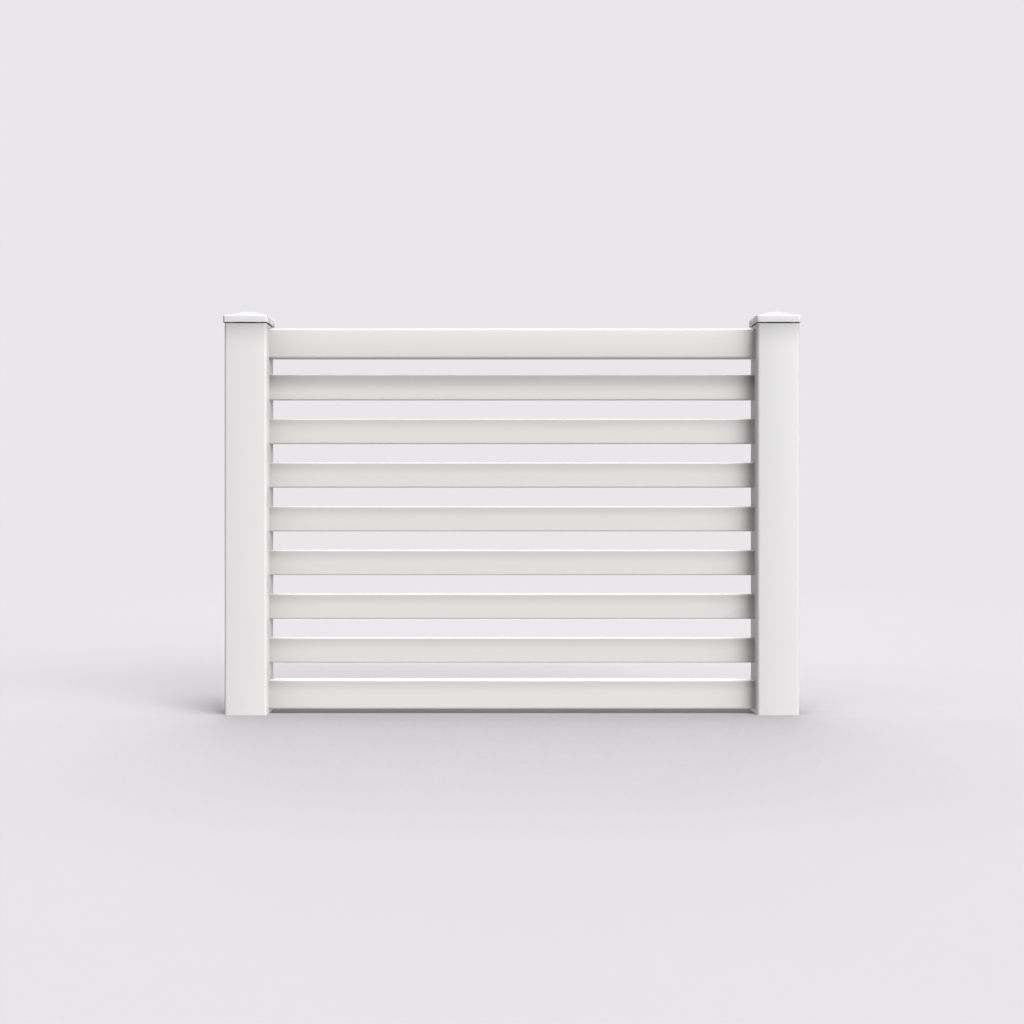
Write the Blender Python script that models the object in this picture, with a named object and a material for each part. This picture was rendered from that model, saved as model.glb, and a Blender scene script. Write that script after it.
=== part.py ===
"""A section of horizontal picket fence in white extruded vinyl.

Two hollow posts stand on the ground. Their facing walls are routed, and the two rails and the level
pickets pass through the routed holes into the posts. A metal ring locks each rail end inside its post,
and a channel stiffens the bottom rail. A hollow cap stands on eight legs on each post, and its legs
are pushed into the post.

Units are metres. The origin is on the ground, midway between the posts. X runs along the fence, the
front faces -Y, and +Z is up.
"""

import math

import bmesh
import bpy
from mathutils import Euler, Matrix

# Layout of the section
CLEAR_OPENING = 1.4732
PICKET_COUNT = 7
PICKET_GAP = 0.0568
END_GAP = 0.0502
GROUND_GAP = 0.0127
POST_ABOVE_RAIL = 0.0111

# Posts
POST_SIDE = 0.1270
POST_WALL = 0.0038
POST_CORNER_RADIUS = 0.0085

# Rails
RAIL_DEPTH = 0.0508
RAIL_HEIGHT = 0.0889
RAIL_WALL = 0.0023
RAIL_CORNER_RADIUS = 0.0060
RAIL_INSERTION = 0.0450
DRAIN_HOLE_RADIUS = 0.0040
DRAIN_HOLE_INSET = 0.1500

# Pickets
PICKET_DEPTH = 0.0222
PICKET_HEIGHT = 0.0762
PICKET_WALL = 0.0015
PICKET_CORNER_RADIUS = 0.0045
PICKET_INSERTION = 0.0320

# Lock rings, on the rail ends inside the posts
RING_THICKNESS = 0.0020
RING_FLANGE = 0.0075
RING_TAB_HEIGHT = 0.0260

# Stiffener, on the floor of the bottom rail
STIFFENER_HEIGHT = 0.0500
STIFFENER_WALL = 0.0016
STIFFENER_SETBACK = 0.0100

# Caps
CAP_OVERHANG = 0.0046
CAP_WALL = 0.0028
CAP_REVEAL = 0.0034
CAP_SKIRT = 0.0198
CAP_RISE = 0.0198
CAP_CORNER_RADIUS = 0.0100
CAP_ARRIS_RADIUS = 0.0040
CAP_CROWN = 0.0180
CAP_LEG_THICKNESS = 0.0024
CAP_LEG_WIDTH = 0.0080
CAP_LEG_DEPTH = 0.0180
CAP_LEG_SETBACK = 0.0010
CAP_LEG_CHAMFER = 0.0020

# Clearances and overruns
SEAT_GAP = 0.0003
ROUTE_CLEARANCE = 0.0005
CAP_LEG_CLEARANCE = 0.0004
CUT_OVERRUN = 0.0040

# Counts, shares and angles
CORNER_SEGMENTS = 6
ARRIS_SEGMENTS = 4
CROWN_SEGMENTS = 3
DRAIN_HOLE_SEGMENTS = 20
LEAST_INNER_RADIUS_SHARE = 0.25
SHARP_ANGLE = math.radians(30)

SIDES = (("left", -1), ("right", 1))

# Turns a section drawn as (depth, height) so that it is extruded along X
LYING_TURN = (math.radians(90), 0, math.radians(90))

# Places that follow from the sizes above
POST_X = (CLEAR_OPENING + POST_SIDE) / 2
BOTTOM_RAIL_Z = GROUND_GAP + RAIL_HEIGHT / 2
PICKET_PITCH = PICKET_HEIGHT + PICKET_GAP
FIRST_PICKET_Z = GROUND_GAP + RAIL_HEIGHT + END_GAP + PICKET_HEIGHT / 2
PICKET_ZS = [FIRST_PICKET_Z + index * PICKET_PITCH for index in range(PICKET_COUNT)]
TOP_RAIL_Z = PICKET_ZS[-1] + PICKET_HEIGHT / 2 + END_GAP + RAIL_HEIGHT / 2
POST_HEIGHT = TOP_RAIL_Z + RAIL_HEIGHT / 2 + POST_ABOVE_RAIL
RING_X = CLEAR_OPENING / 2 + POST_WALL + SEAT_GAP + RING_THICKNESS / 2
RING_BORDER = ROUTE_CLEARANCE + RING_FLANGE
CAP_HALF = POST_SIDE / 2 + CAP_OVERHANG
CAP_ARRIS_Z = CAP_REVEAL + CAP_SKIRT
CAP_PITCH = math.atan(CAP_RISE / (CAP_HALF - CAP_CROWN / 2))
CAP_LEG_OUTER = POST_SIDE / 2 - POST_WALL - CAP_LEG_CLEARANCE
CAP_LEG_INNER = CAP_LEG_OUTER - CAP_LEG_WIDTH
CAP_LEG_SPREAD = (RAIL_DEPTH / 2 + RING_BORDER + CAP_LEG_INNER) / 2


# Outlines

def rounded_rectangle(width, height, radius):
    """Points of a rounded rectangle about the origin, anticlockwise from its right side."""
    points = []
    for quarter, (side_u, side_v) in enumerate(((1, 1), (-1, 1), (-1, -1), (1, -1))):
        for step in range(CORNER_SEGMENTS + 1):
            angle = math.radians(90) * (quarter + step / CORNER_SEGMENTS)
            u = side_u * (width / 2 - radius) + radius * math.cos(angle)
            v = side_v * (height / 2 - radius) + radius * math.sin(angle)
            points.append((u, v))
    return points


def inner_radius(outer_radius, wall):
    """Radius of a corner's inner side, which a thick wall would otherwise use up."""
    return max(outer_radius - wall, wall * LEAST_INNER_RADIUS_SHARE)


def section(width, height, wall, radius):
    """Outer and inner outline of a hollow extruded section."""
    outer = rounded_rectangle(width, height, radius)
    inner = rounded_rectangle(width - 2 * wall, height - 2 * wall, inner_radius(radius, wall))
    return outer, inner


def rail_section():
    return section(RAIL_DEPTH, RAIL_HEIGHT, RAIL_WALL, RAIL_CORNER_RADIUS)


def picket_section():
    return section(PICKET_DEPTH, PICKET_HEIGHT, PICKET_WALL, PICKET_CORNER_RADIUS)


def routed_outline(width, height, radius):
    """Outline of the routed hole for a section of this size."""
    return rounded_rectangle(
        width + 2 * ROUTE_CLEARANCE, height + 2 * ROUTE_CLEARANCE, radius + ROUTE_CLEARANCE
    )


def ring_hole_outline():
    """The rail's outline with clearance round it, and a tab reaching into the rail on each side."""
    outline = routed_outline(RAIL_DEPTH, RAIL_HEIGHT, RAIL_CORNER_RADIUS)
    root = RAIL_DEPTH / 2 + ROUTE_CLEARANCE
    tip = RAIL_DEPTH / 2 - RAIL_WALL
    half = RING_TAB_HEIGHT / 2
    left_tab = [(-root, half), (-tip, half), (-tip, -half), (-root, -half)]
    right_tab = [(-u, -v) for u, v in left_tab]
    middle = len(outline) // 2
    return outline[:middle] + left_tab + outline[middle:] + right_tab


def stiffener_outline():
    """A trough that lies along the rail's floor and side walls, rounded at its two bends."""
    half = RAIL_DEPTH / 2 - RAIL_WALL - SEAT_GAP
    floor = RAIL_WALL + SEAT_GAP - RAIL_HEIGHT / 2
    outer_bend = inner_radius(RAIL_CORNER_RADIUS, RAIL_WALL + SEAT_GAP)
    inner_bend = inner_radius(outer_bend, STIFFENER_WALL)
    outer = trough_path(half, floor, outer_bend)
    inner = trough_path(half - STIFFENER_WALL, floor + STIFFENER_WALL, inner_bend)
    return outer + inner[::-1]


def trough_path(half, floor, bend):
    """Path down the left wall, round the two bends and up the right wall."""
    top = RAIL_WALL + SEAT_GAP + STIFFENER_HEIGHT - RAIL_HEIGHT / 2
    path = [(-half, top)]
    for quarter, side in ((2, -1), (3, 1)):
        for step in range(CORNER_SEGMENTS + 1):
            angle = math.radians(90) * (quarter + step / CORNER_SEGMENTS)
            u = side * (half - bend) + bend * math.cos(angle)
            v = floor + bend + bend * math.sin(angle)
            path.append((u, v))
    return path + [(half, top)]


# Meshes

def add_extrusion(bm, outlines, length, place=Matrix()):
    """Adds the area between the outlines, extruded along the place's Z and centred on it."""
    edges = []
    for outline in outlines:
        verts = [bm.verts.new((u, v, -length / 2)) for u, v in outline]
        edges += [bm.edges.new(pair) for pair in zip(verts, verts[1:] + verts[:1])]
    filled = bmesh.ops.triangle_fill(bm, edges=edges, use_beauty=True)
    faces = [item for item in filled["geom"] if isinstance(item, bmesh.types.BMFace)]
    start = list({vert for face in faces for vert in face.verts})
    extruded = bmesh.ops.extrude_face_region(bm, geom=faces)
    end = [item for item in extruded["geom"] if isinstance(item, bmesh.types.BMVert)]
    bmesh.ops.translate(bm, verts=end, vec=(0, 0, length))
    bmesh.ops.transform(bm, matrix=place, verts=start + end)


def add_rings(bm, rings):
    """Adds the skin through a stack of (half side, height, corner radius) rings, closed at both ends.

    Returns the face that closes the first ring.
    """
    loops = []
    for half, height, radius in rings:
        outline = rounded_rectangle(2 * half, 2 * half, radius)
        loops.append([bm.verts.new((u, v, height)) for u, v in outline])
    for lower, upper in zip(loops, loops[1:]):
        for index in range(len(lower)):
            bm.faces.new((lower[index - 1], lower[index], upper[index], upper[index - 1]))
    bm.faces.new(loops[-1])
    return bm.faces.new(loops[0])


def add_object(name, bm, parent, location, turn=(0, 0, 0)):
    """Makes the mesh an object under its parent, with its faces pointing outwards."""
    bmesh.ops.recalc_face_normals(bm, faces=bm.faces)
    mesh = bpy.data.meshes.new(name)
    bm.to_mesh(mesh)
    bm.free()
    added = bpy.data.objects.new(name, mesh)
    bpy.context.scene.collection.objects.link(added)
    added.parent = parent
    added.location = location
    added.rotation_euler = turn
    return added


def add_helper(name, bm, parent, location=(0, 0, 0), turn=(0, 0, 0)):
    """A shape that is only cut from a piece, or joined to it."""
    helper = add_object(name, bm, parent, location, turn)
    helper.hide_render = True
    helper.display_type = "WIRE"
    return helper


def combine(piece, helper, operation):
    modifier = piece.modifiers.new(helper.name, "BOOLEAN")
    modifier.operation = operation
    modifier.object = helper


def finish(piece, material):
    """Applies the modifiers, shades the round faces smooth and gives the piece its material."""
    evaluated = piece.evaluated_get(bpy.context.evaluated_depsgraph_get())
    mesh = bpy.data.meshes.new_from_object(evaluated)
    piece.modifiers.clear()
    piece.data = mesh
    mesh.name = piece.name
    mesh.shade_smooth()
    mesh.set_sharp_from_angle(angle=SHARP_ANGLE)
    mesh.materials.clear()
    mesh.materials.append(material)


# Materials

def add_material(name, colour, roughness, metallic):
    material = bpy.data.materials.new(name)
    material.use_nodes = True
    shader = material.node_tree.nodes["Principled BSDF"]
    shader.inputs["Base Color"].default_value = (*colour, 1.0)
    shader.inputs["Roughness"].default_value = roughness
    shader.inputs["Metallic"].default_value = metallic
    return material


def post_vinyl():
    return add_material("post_vinyl", (0.78, 0.77, 0.76), 0.42, 0.0)


def rail_vinyl():
    return add_material("rail_vinyl", (0.77, 0.77, 0.74), 0.42, 0.0)


def picket_vinyl():
    return add_material("picket_vinyl", (0.76, 0.76, 0.73), 0.45, 0.0)


def cap_vinyl():
    return add_material("cap_vinyl", (0.80, 0.79, 0.80), 0.36, 0.0)


def ring_aluminium():
    return add_material("ring_aluminium", (0.72, 0.73, 0.74), 0.35, 1.0)


def stiffener_steel():
    return add_material("stiffener_steel", (0.55, 0.57, 0.58), 0.45, 1.0)


# Posts

def routing_cutter(side_name, side, parent):
    """The prisms that rout one post's inner wall: one for each rail and each picket."""
    bm = bmesh.new()
    wall_x = side * (CLEAR_OPENING + POST_WALL) / 2
    rail_hole = routed_outline(RAIL_DEPTH, RAIL_HEIGHT, RAIL_CORNER_RADIUS)
    picket_hole = routed_outline(PICKET_DEPTH, PICKET_HEIGHT, PICKET_CORNER_RADIUS)
    holes = [(rail_hole, BOTTOM_RAIL_Z), (rail_hole, TOP_RAIL_Z)]
    holes += [(picket_hole, picket_z) for picket_z in PICKET_ZS]
    for outline, hole_z in holes:
        place = Matrix.LocRotScale((wall_x, 0, hole_z), Euler(LYING_TURN), None)
        add_extrusion(bm, [outline], POST_WALL + 2 * CUT_OVERRUN, place)
    return add_helper(f"{side_name}_post_routing", bm, parent)


def add_post(side_name, side, parent, material):
    bm = bmesh.new()
    outlines = section(POST_SIDE, POST_SIDE, POST_WALL, POST_CORNER_RADIUS)
    add_extrusion(bm, outlines, POST_HEIGHT)
    post = add_object(f"{side_name}_post", bm, parent, (side * POST_X, 0, POST_HEIGHT / 2))
    combine(post, routing_cutter(side_name, side, parent), "DIFFERENCE")
    finish(post, material)


# Rails and pickets

def notch_cutter(rail_name, rail_z, parent):
    """Two boxes through the rail's side walls, where the tabs of its lock rings go in."""
    bm = bmesh.new()
    notch = (
        RING_THICKNESS + 2 * SEAT_GAP,
        RAIL_DEPTH + 2 * CUT_OVERRUN,
        RING_TAB_HEIGHT + 2 * SEAT_GAP,
    )
    for _, side in SIDES:
        place = Matrix.LocRotScale((side * RING_X, 0, rail_z), None, notch)
        bmesh.ops.create_cube(bm, size=1, matrix=place)
    return add_helper(f"{rail_name}_notches", bm, parent)


def drain_cutter(parent):
    """Two upright drills through the floor of the bottom rail and of its stiffener."""
    bm = bmesh.new()
    floor = RAIL_WALL + SEAT_GAP + STIFFENER_WALL
    for _, side in SIDES:
        drill_x = side * (CLEAR_OPENING / 2 - DRAIN_HOLE_INSET)
        bmesh.ops.create_cone(
            bm,
            cap_ends=True,
            segments=DRAIN_HOLE_SEGMENTS,
            radius1=DRAIN_HOLE_RADIUS,
            radius2=DRAIN_HOLE_RADIUS,
            depth=floor + 2 * CUT_OVERRUN,
            matrix=Matrix.Translation((drill_x, 0, GROUND_GAP + floor / 2)),
        )
    return add_helper("drain_drills", bm, parent)


def add_rail(rail_name, rail_z, parent, material, cutters):
    bm = bmesh.new()
    add_extrusion(bm, rail_section(), CLEAR_OPENING + 2 * RAIL_INSERTION)
    rail = add_object(rail_name, bm, parent, (0, 0, rail_z), LYING_TURN)
    for cutter in cutters:
        combine(rail, cutter, "DIFFERENCE")
    finish(rail, material)


def add_picket(number, picket_z, parent, material):
    bm = bmesh.new()
    add_extrusion(bm, picket_section(), CLEAR_OPENING + 2 * PICKET_INSERTION)
    picket = add_object(f"picket_{number}", bm, parent, (0, 0, picket_z), LYING_TURN)
    finish(picket, material)


# Fittings inside the posts and the bottom rail

def add_lock_ring(name, side, rail_z, parent, material):
    bm = bmesh.new()
    rim = rounded_rectangle(
        RAIL_DEPTH + 2 * RING_BORDER, RAIL_HEIGHT + 2 * RING_BORDER, RAIL_CORNER_RADIUS + RING_BORDER
    )
    add_extrusion(bm, [rim, ring_hole_outline()], RING_THICKNESS)
    ring = add_object(name, bm, parent, (side * RING_X, 0, rail_z), LYING_TURN)
    finish(ring, material)


def add_stiffener(parent, material, drills):
    bm = bmesh.new()
    length = CLEAR_OPENING + 2 * (RAIL_INSERTION - STIFFENER_SETBACK)
    add_extrusion(bm, [stiffener_outline()], length)
    stiffener = add_object("bottom_rail_stiffener", bm, parent, (0, 0, BOTTOM_RAIL_Z), LYING_TURN)
    combine(stiffener, drills, "DIFFERENCE")
    finish(stiffener, material)


# Caps

def roof_height(half):
    """Height of the cap's roof over the post's top, at this distance from the cap's axis."""
    slope = math.tan(CAP_PITCH)
    tip = CAP_ARRIS_Z + CAP_RISE
    if half < CAP_CROWN:
        return tip - slope * half**2 / (2 * CAP_CROWN)
    return tip - slope * (half - CAP_CROWN / 2)


def cap_outer_rings():
    """Rings from the tip down over the crown, the roof and the rounded arris to the skirt's edge."""
    rings = []
    for step in range(1, CROWN_SEGMENTS + 1):
        half = CAP_CROWN * step / CROWN_SEGMENTS
        rings.append((half, roof_height(half)))
    tangent = CAP_ARRIS_RADIUS * math.tan((math.radians(90) - CAP_PITCH) / 2)
    for step in range(ARRIS_SEGMENTS, -1, -1):
        angle = (math.radians(90) - CAP_PITCH) * step / ARRIS_SEGMENTS
        half = CAP_HALF - CAP_ARRIS_RADIUS * (1 - math.cos(angle))
        rings.append((half, CAP_ARRIS_Z - tangent + CAP_ARRIS_RADIUS * math.sin(angle)))
    rings.append((CAP_HALF, CAP_REVEAL))
    return [(half, height, CAP_CORNER_RADIUS * half / CAP_HALF) for half, height in rings]


def cap_inner_rings():
    """Rings from the skirt's edge up inside the cap, one wall thickness behind the outer ones."""
    inside = CAP_HALF - CAP_WALL
    drop = CAP_WALL / math.cos(CAP_PITCH)
    rings = [(inside, CAP_REVEAL)]
    rings += [(half, roof_height(half) - drop) for half in (inside, CAP_CROWN, CAP_CROWN / 2)]
    radius = inner_radius(CAP_CORNER_RADIUS, CAP_WALL)
    return [(half, height, radius * half / inside) for half, height in rings]


def cap_leg_outline():
    """A leg's side view as (distance from the axis, height): it hangs from the roof and the skirt,
    sits on the post's cut top, and reaches down inside the post's wall."""
    seat = POST_SIDE / 2 - CAP_LEG_SETBACK
    in_skirt = CAP_HALF - CAP_WALL / 2
    by_skirt = CAP_HALF - CAP_WALL
    into_roof = CAP_WALL / 2 / math.cos(CAP_PITCH)
    return [
        (seat, SEAT_GAP),
        (in_skirt, CAP_REVEAL + CAP_LEG_SETBACK),
        (in_skirt, CAP_ARRIS_Z - CAP_ARRIS_RADIUS),
        (by_skirt, roof_height(by_skirt) - into_roof),
        (CAP_LEG_INNER, roof_height(CAP_LEG_INNER) - into_roof),
        (CAP_LEG_INNER, -CAP_LEG_DEPTH),
        (CAP_LEG_OUTER - CAP_LEG_CHAMFER, -CAP_LEG_DEPTH),
        (CAP_LEG_OUTER, CAP_LEG_CHAMFER - CAP_LEG_DEPTH),
        (CAP_LEG_OUTER, SEAT_GAP),
    ]


def cap_legs(cap_name, parent):
    """Two legs on each side of the cap, each midway between the top rail's lock ring and the corner."""
    bm = bmesh.new()
    upright = Matrix.Rotation(math.radians(90), 4, "X")
    for quarter in range(4):
        turn = Matrix.Rotation(math.radians(90) * quarter, 4, "Z")
        for across in (-CAP_LEG_SPREAD, CAP_LEG_SPREAD):
            place = turn @ Matrix.Translation((0, across, 0)) @ upright
            add_extrusion(bm, [cap_leg_outline()], CAP_LEG_THICKNESS, place)
    return add_helper(f"{cap_name}_legs", bm, parent)


def add_cap(side_name, side, parent, material):
    """The cap under an empty on the post's axis, along which it lifts off."""
    name = f"{side_name}_post_cap"
    axis = bpy.data.objects.new(f"{name}_axis", None)
    bpy.context.scene.collection.objects.link(axis)
    axis.parent = parent
    axis.location = (side * POST_X, 0, POST_HEIGHT)
    bm = bmesh.new()
    tip_face = add_rings(bm, cap_outer_rings() + cap_inner_rings())
    poked = bmesh.ops.poke(bm, faces=[tip_face])
    poked["verts"][0].co.z = roof_height(0)
    cap = add_object(name, bm, axis, (0, 0, 0))
    combine(cap, cap_legs(name, axis), "UNION")
    finish(cap, material)


# The section

def clear_scene():
    for item in list(bpy.data.objects):
        bpy.data.objects.remove(item)


def build():
    clear_scene()
    fence = bpy.data.objects.new("fence", None)
    bpy.context.scene.collection.objects.link(fence)

    post_material = post_vinyl()
    cap_material = cap_vinyl()
    rail_material = rail_vinyl()
    picket_material = picket_vinyl()
    ring_material = ring_aluminium()

    for side_name, side in SIDES:
        add_post(side_name, side, fence, post_material)
        add_cap(side_name, side, fence, cap_material)

    drills = drain_cutter(fence)
    for rail_name, rail_z, drilled in (
        ("bottom_rail", BOTTOM_RAIL_Z, [drills]),
        ("top_rail", TOP_RAIL_Z, []),
    ):
        cutters = [notch_cutter(rail_name, rail_z, fence), *drilled]
        add_rail(rail_name, rail_z, fence, rail_material, cutters)
        for side_name, side in SIDES:
            level = rail_name.removesuffix("_rail")
            add_lock_ring(f"{level}_{side_name}_lock_ring", side, rail_z, fence, ring_material)
    add_stiffener(fence, stiffener_steel(), drills)

    for number, picket_z in enumerate(PICKET_ZS, start=1):
        add_picket(number, picket_z, fence, picket_material)


build()
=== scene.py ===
"""The looks of a section of horizontal picket fence in white extruded vinyl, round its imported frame.

Posts, caps, rails and pickets are finer pieces that replace the frame's own. The lock rings and the
stiffener, which the posts and the bottom rail hide, keep the frame's meshes and get their metals here.

Units are metres. X runs along the fence, the front faces -Y, +Z is up, and the floor is at Z = 0.
"""

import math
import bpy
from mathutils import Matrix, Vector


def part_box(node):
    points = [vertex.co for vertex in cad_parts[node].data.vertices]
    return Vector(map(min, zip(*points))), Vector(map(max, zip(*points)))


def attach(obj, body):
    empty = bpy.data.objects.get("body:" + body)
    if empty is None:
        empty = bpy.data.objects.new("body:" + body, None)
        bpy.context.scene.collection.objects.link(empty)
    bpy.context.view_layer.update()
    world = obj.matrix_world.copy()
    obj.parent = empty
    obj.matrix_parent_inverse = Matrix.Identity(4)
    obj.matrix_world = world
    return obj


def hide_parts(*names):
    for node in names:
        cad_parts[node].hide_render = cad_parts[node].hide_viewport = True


bl_info = {
    "name": "Horizontal picket fence",
    "version": (1, 0, 0),
    "blender": (4, 5, 0),
    "location": "3D View > Sidebar > Fence",
    "description": "Dresses a vinyl fence section and sets it on a pale studio floor",
    "category": "Object",
}

from functools import partial

import bmesh
import bpy
import numpy as np
from bpy.props import FloatProperty, FloatVectorProperty, IntProperty, PointerProperty
from mathutils import Euler, Vector

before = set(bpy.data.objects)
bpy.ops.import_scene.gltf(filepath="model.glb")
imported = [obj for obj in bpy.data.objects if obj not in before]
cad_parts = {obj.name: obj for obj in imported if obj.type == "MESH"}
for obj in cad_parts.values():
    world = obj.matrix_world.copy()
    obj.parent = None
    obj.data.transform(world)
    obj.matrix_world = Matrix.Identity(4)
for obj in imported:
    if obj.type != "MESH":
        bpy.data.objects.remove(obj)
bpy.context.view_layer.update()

SIDES = (("left", -1), ("right", 1))
LOCK_RINGS = [f"{level}_{side}_lock_ring" for level in ("top", "bottom") for side, _ in SIDES]
PICKETS = sorted(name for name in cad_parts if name.startswith("picket_"))
X, Y, Z = range(3)

QUARTER_TURN = math.radians(90)
# Turns a section drawn as (depth, height) so that it is extruded along X
LYING_TURN = Euler((QUARTER_TURN, 0, QUARTER_TURN))
# An edge turned further than this stays a crease
CREASE = math.radians(30)
# Points nearer than this are one point
WELD = 1e-6
# A point this near to the plane of a wall lies on the wall
ON_WALL = 1e-5
# A face that looks along its bar by more than this is a sawn end
END_TILT = 0.9
# The inner corners of a section keep at least this share of its wall as their radius
LEAST_CORNER = 0.25
# A cutter this many walls deep goes right through one
THROUGH = 3
# Faces round a drain hole, over a roof's rounded middle, over its arris and round the skirt's lip
DRILL_SIDES, CROWN_STEPS, ARRIS_STEPS, LIP_STEPS = 32, 8, 10, 4

# Rigid PVC bends light this much
PVC_IOR = 1.53
# Depth of the relief on PVC and on rolled metal
PVC_RELIEF, METAL_RELIEF = 0.00004, 0.00002
# Roughness of sawn PVC, and of dust on it
SAWN_ROUGHNESS, DUST_ROUGHNESS = 0.75, 0.85
# Nearly all values of a noise lie in this range
NOISE_RANGE = {"From Min": 0.3, "From Max": 0.7}

# Lengths that every tree of a hollow bar takes in
SECTION = ("Width", "Height", "Wall", "Corner", "Length")

FLOOR_RADIUS, FLOOR_SIDES = 60, 96
# Things shade the floor up to this distance, and most where only this share of the sky is open
SHADE_REACH, LEAST_SKY = 1.8, 0.6
# Light from the ground gives way to light from the walls between this height and the horizon
GROUND_LIGHT_END = -0.1
# A soft box lights the same from any distance: this only says where it is drawn
SOFT_BOX_DISTANCE = 4
CAMERA_PLACE = (0, -4.3315, 0.6096)
LENS_MM, SENSOR_MM = 50, 36


# Settings

def srgb(hex_colour):
    """An sRGB hex colour as linear red, green and blue."""
    channels = [int(hex_colour[start:start + 2], 16) / 255 for start in (1, 3, 5)]
    return tuple(c / 12.92 if c <= 0.04045 else ((c + 0.055) / 1.055) ** 2.4 for c in channels)


def length(name, description, default):
    return FloatProperty(
        name=name, description=description, default=default, min=0, precision=4, unit="LENGTH"
    )


def angle(name, description, degrees):
    return FloatProperty(
        name=name, description=description, default=math.radians(degrees), unit="ROTATION"
    )


def strength(name, description, default):
    return FloatProperty(name=name, description=description, default=default, min=0, subtype="FACTOR")


def colour(name, description, hex_colour):
    return FloatVectorProperty(
        name=name, description=description, default=srgb(hex_colour), min=0, max=1, subtype="COLOR"
    )


class FenceSizes(bpy.types.PropertyGroup):
    """Sizes that the frame's boxes don't give."""

    corner_steps: IntProperty(
        name="Corner steps", description="Faces round each rounded corner", default=12, min=2, max=32
    )
    post_wall: length("Post wall", "Thickness of the posts' walls", 0.0038)
    post_corner: length("Post corner", "Outer corner radius of the posts", 0.0085)
    post_bow: angle("Post bow", "How far the shading of a post's walls turns out at their edges", 5.5)
    rail_wall: length("Rail wall", "Thickness of the rails' walls", 0.0023)
    rail_corner: length("Rail corner", "Outer corner radius of the rails", 0.0060)
    top_rail_bow: angle("Top rail bow", "How far the shading of the top rail's walls turns out", 3.5)
    picket_wall: length("Picket wall", "Thickness of the pickets' walls", 0.0015)
    picket_corner: length("Picket corner", "Outer corner radius of the pickets", 0.0045)
    route_room: length("Routing room", "Room round a rail or picket in its routed hole", 0.0005)
    notch_length: length("Notch length", "Length along a rail of the notches for its rings", 0.0026)
    notch_height: length("Notch height", "Height of the notches for the lock rings", 0.0266)
    drill_radius: length("Drain hole radius", "Radius of the bottom rail's drain holes", 0.0040)
    drill_inset: length("Drain hole inset", "Distance of the drain holes from the posts", 0.1500)
    cap_wall: length("Cap wall", "Thickness of the caps' walls", 0.0028)
    cap_reveal: length("Cap reveal", "Open height between a post and its cap's skirt", 0.0034)
    cap_skirt: length("Cap skirt", "Height of the caps' upright skirt", 0.0198)
    cap_corner: length("Cap corner", "Outer corner radius of the caps", 0.0100)
    cap_arris: length("Cap arris", "Radius of the edge between a cap's skirt and its roof", 0.0020)
    cap_lip: length("Cap lip", "Radius of the edges under a cap's skirt", 0.0006)
    cap_crown: length("Cap crown", "Half the width of the rounded middle of a cap's roof", 0.0180)
    leg_thickness: length("Leg thickness", "Thickness of the caps' legs", 0.0024)
    leg_width: length("Leg width", "Width of the legs, towards the cap's middle", 0.0080)
    leg_room: length("Leg room", "Room between a leg and the post's inside", 0.0004)
    leg_spread: length("Leg spread", "Distance of the legs from the middle of their side", 0.04235)
    leg_setback: length("Leg setback", "How far the legs' seats stay behind the post's faces", 0.0010)
    seat_room: length("Seat room", "Room under the legs' seats", 0.0003)


class FenceFinish(bpy.types.PropertyGroup):
    """Colours and finishes."""

    post: colour("Post vinyl", "Colour of the extruded posts", "#E9E8E7")
    rail: colour("Rail vinyl", "Colour of the extruded rails", "#E8E7E3")
    picket: colour("Picket vinyl", "Colour of the extruded pickets", "#E5E4E0")
    cap: colour("Cap vinyl", "Colour of the moulded caps", "#EAE9EA")
    # Painted shadow under the boards' upper edges, deeper on the board right under the top rail
    film: strength("Rain film", "Share of the light that the film on the boards takes", 0.17)
    film_depth: length("Film depth", "How far down from the upper edge the film reaches", 0.040)
    top_film: strength("Top board's film", "The same on the board right under the top rail", 0.32)
    top_film_depth: length("Top film depth", "How far down the film of that board reaches", 0.058)
    # Painted shadow down the posts, under the caps
    drip: strength("Drip marks", "Share of the light that the film under the caps takes", 0.13)
    drip_depth: length("Drip depth", "How far down the posts the film reaches", 0.080)
    # Painted shade on the rails and boards beside the posts
    dust: strength("Corner dust", "Share of the light that the dust beside the posts takes", 0.34)
    dust_reach: length("Dust reach", "Distance from the posts at which a third of it is left", 0.050)
    # Painted shade on the caps' roofs, against the strong light from above
    settled: strength("Settled dust", "Share of the light that dust on the caps' roofs takes", 0.29)
    aluminium: colour("Lock ring metal", "Colour of the die-cut aluminium", "#DADCDD")
    zinc: colour("Stiffener metal", "Colour of the hot-dip zinc", "#B8BEC3")


class FenceStudio(bpy.types.PropertyGroup):
    """Floor, backdrop and light."""

    floor: colour("Floor", "Colour of the studio floor", "#BCBABD")
    backdrop: colour("Backdrop", "Colour behind the floor", "#E9E7EA")
    contact: strength("Contact shade", "How dark the floor gets where things stand close", 0.37)
    floor_near: length("Floor reach", "Distance to which the floor shows light and shade", 3.5)
    floor_far: length("Floor end", "Distance from which the floor has the backdrop's colour", 9.0)
    key: strength("Key light", "Strength of the main soft box", 2.27)
    key_turn: angle("Key turn", "How far to the right of the front the main soft box stands", 38)
    key_height: angle("Key height", "Height of the main soft box over the floor", 24)
    key_spread: angle("Key spread", "Angle that the main soft box fills", 42)
    top: strength("Top light", "Strength of the soft box overhead", 2.98)
    top_turn: angle("Top light turn", "How far to the right of the front it stands", 20)
    top_height: angle("Top light height", "Height of the soft box overhead", 80)
    top_spread: angle("Top light spread", "Angle that the soft box overhead fills", 22)
    back: strength("Back light", "Strength of the soft box behind the fence", 1.2)
    back_turn: angle("Back light turn", "How far to the right of the front it stands", 180)
    back_height: angle("Back light height", "Height of the soft box behind the fence", 28)
    back_spread: angle("Back light spread", "Angle that the soft box behind the fence fills", 42)
    ceiling: strength("Ceiling", "Light from above", 0.25)
    walls: strength("Walls", "Light from round the studio", 0.25)
    ground: strength("Ground", "Light back from below", 0.52)


# Nodes

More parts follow.
